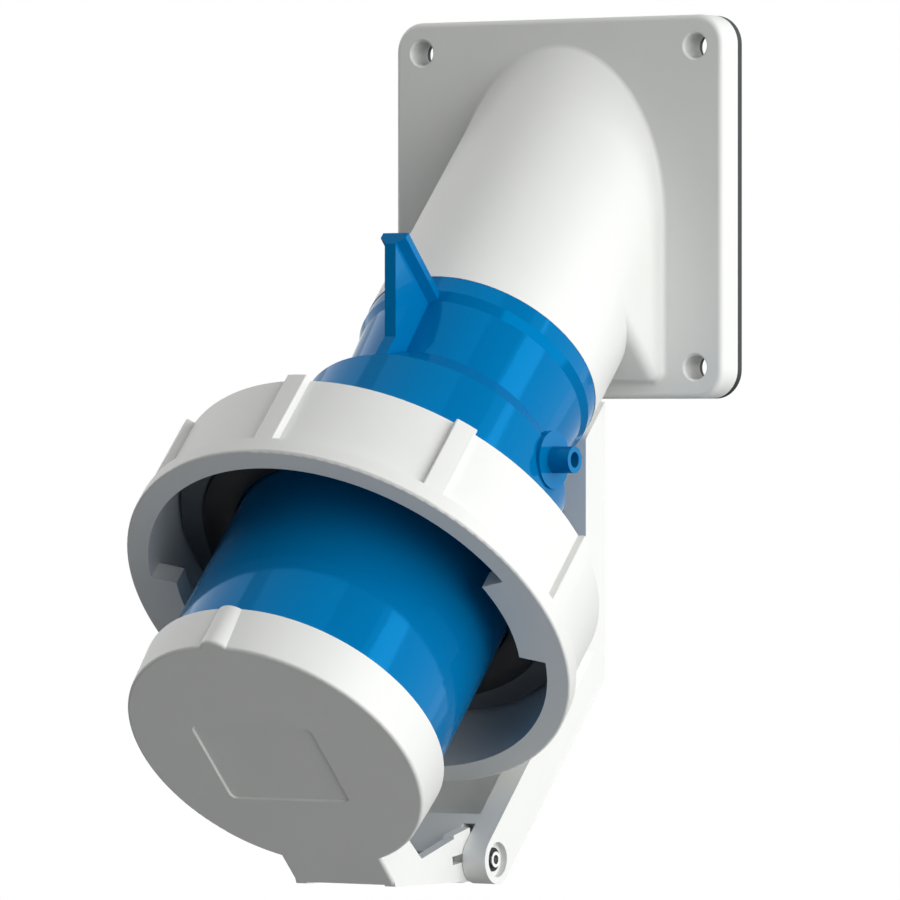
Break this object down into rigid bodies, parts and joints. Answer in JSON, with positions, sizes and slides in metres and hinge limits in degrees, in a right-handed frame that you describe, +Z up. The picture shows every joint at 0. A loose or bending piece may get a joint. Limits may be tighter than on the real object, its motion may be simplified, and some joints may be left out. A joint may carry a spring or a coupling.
{
  "type": "angled power inlet",
  "caption": "Angled wall flange inlet with a blue pin sleeve, a turning bayonet ring and a sprung hinged lid.",
  "frame": {"origin": "centre of the four mounting holes, on the wall plane at the back of the gasket", "axes": "X to the right when facing the wall, Y into the wall, Z up. The sleeve points 45 degrees down and away from the wall, in the YZ plane."},
  "size_m": [0.111, 0.162, 0.2057],
  "materials": {
    "pale_plastic": "fine satin moulding",
    "lid_plastic": "fine satin moulding",
    "blue_plastic": "smooth gloss moulding",
    "dark_plastic": "matte insulating moulding",
    "seal_rubber": "soft matte",
    "contact_metal": "nickel-plated, turned",
    "plated_steel": "zinc plated",
    "spring_steel": "drawn wire"
  },
  "bodies": {
    "root": {"flange_gasket": "seal_rubber", "elbow_housing": "pale_plastic", "shroud_body": "blue_plastic", "inlet_sleeve": "blue_plastic", "body_o_ring": "seal_rubber", "contact_carrier": "dark_plastic", "earth_pin": "contact_metal", "neutral_pin": "contact_metal", "phase_pin_1": "contact_metal", "phase_pin_2": "contact_metal", "phase_pin_3": "contact_metal", "terminal_screws": "plated_steel", "carrier_screws": "plated_steel", "ring_gasket": "seal_rubber", "lid_bracket": "pale_plastic", "bracket_screws": "plated_steel", "hinge_pin": "plated_steel", "hinge_clips": "plated_steel", "lid_spring": "spring_steel"},
    "locking_ring": {"locking_ring": "pale_plastic"},
    "lid": {"lid": "lid_plastic", "lid_seal": "seal_rubber"}
  },
  "joints": [
    {"name": "ring_turn", "type": "hinge", "parent": "root", "child": "locking_ring", "pos_m": [0, -0.09435, -0.08735], "axis": [0, -0.7071, -0.7071], "range_deg": [0, 45]},
    {"name": "lid_hinge", "type": "hinge", "parent": "root", "child": "lid", "pos_m": [0, -0.06985, -0.154], "axis": [1, 0, 0], "range_deg": [0, 120], "stiffness_Nm_per_rad": 0.06, "springref_deg": -68.75, "deforming": ["lid_spring"]}
  ]
}
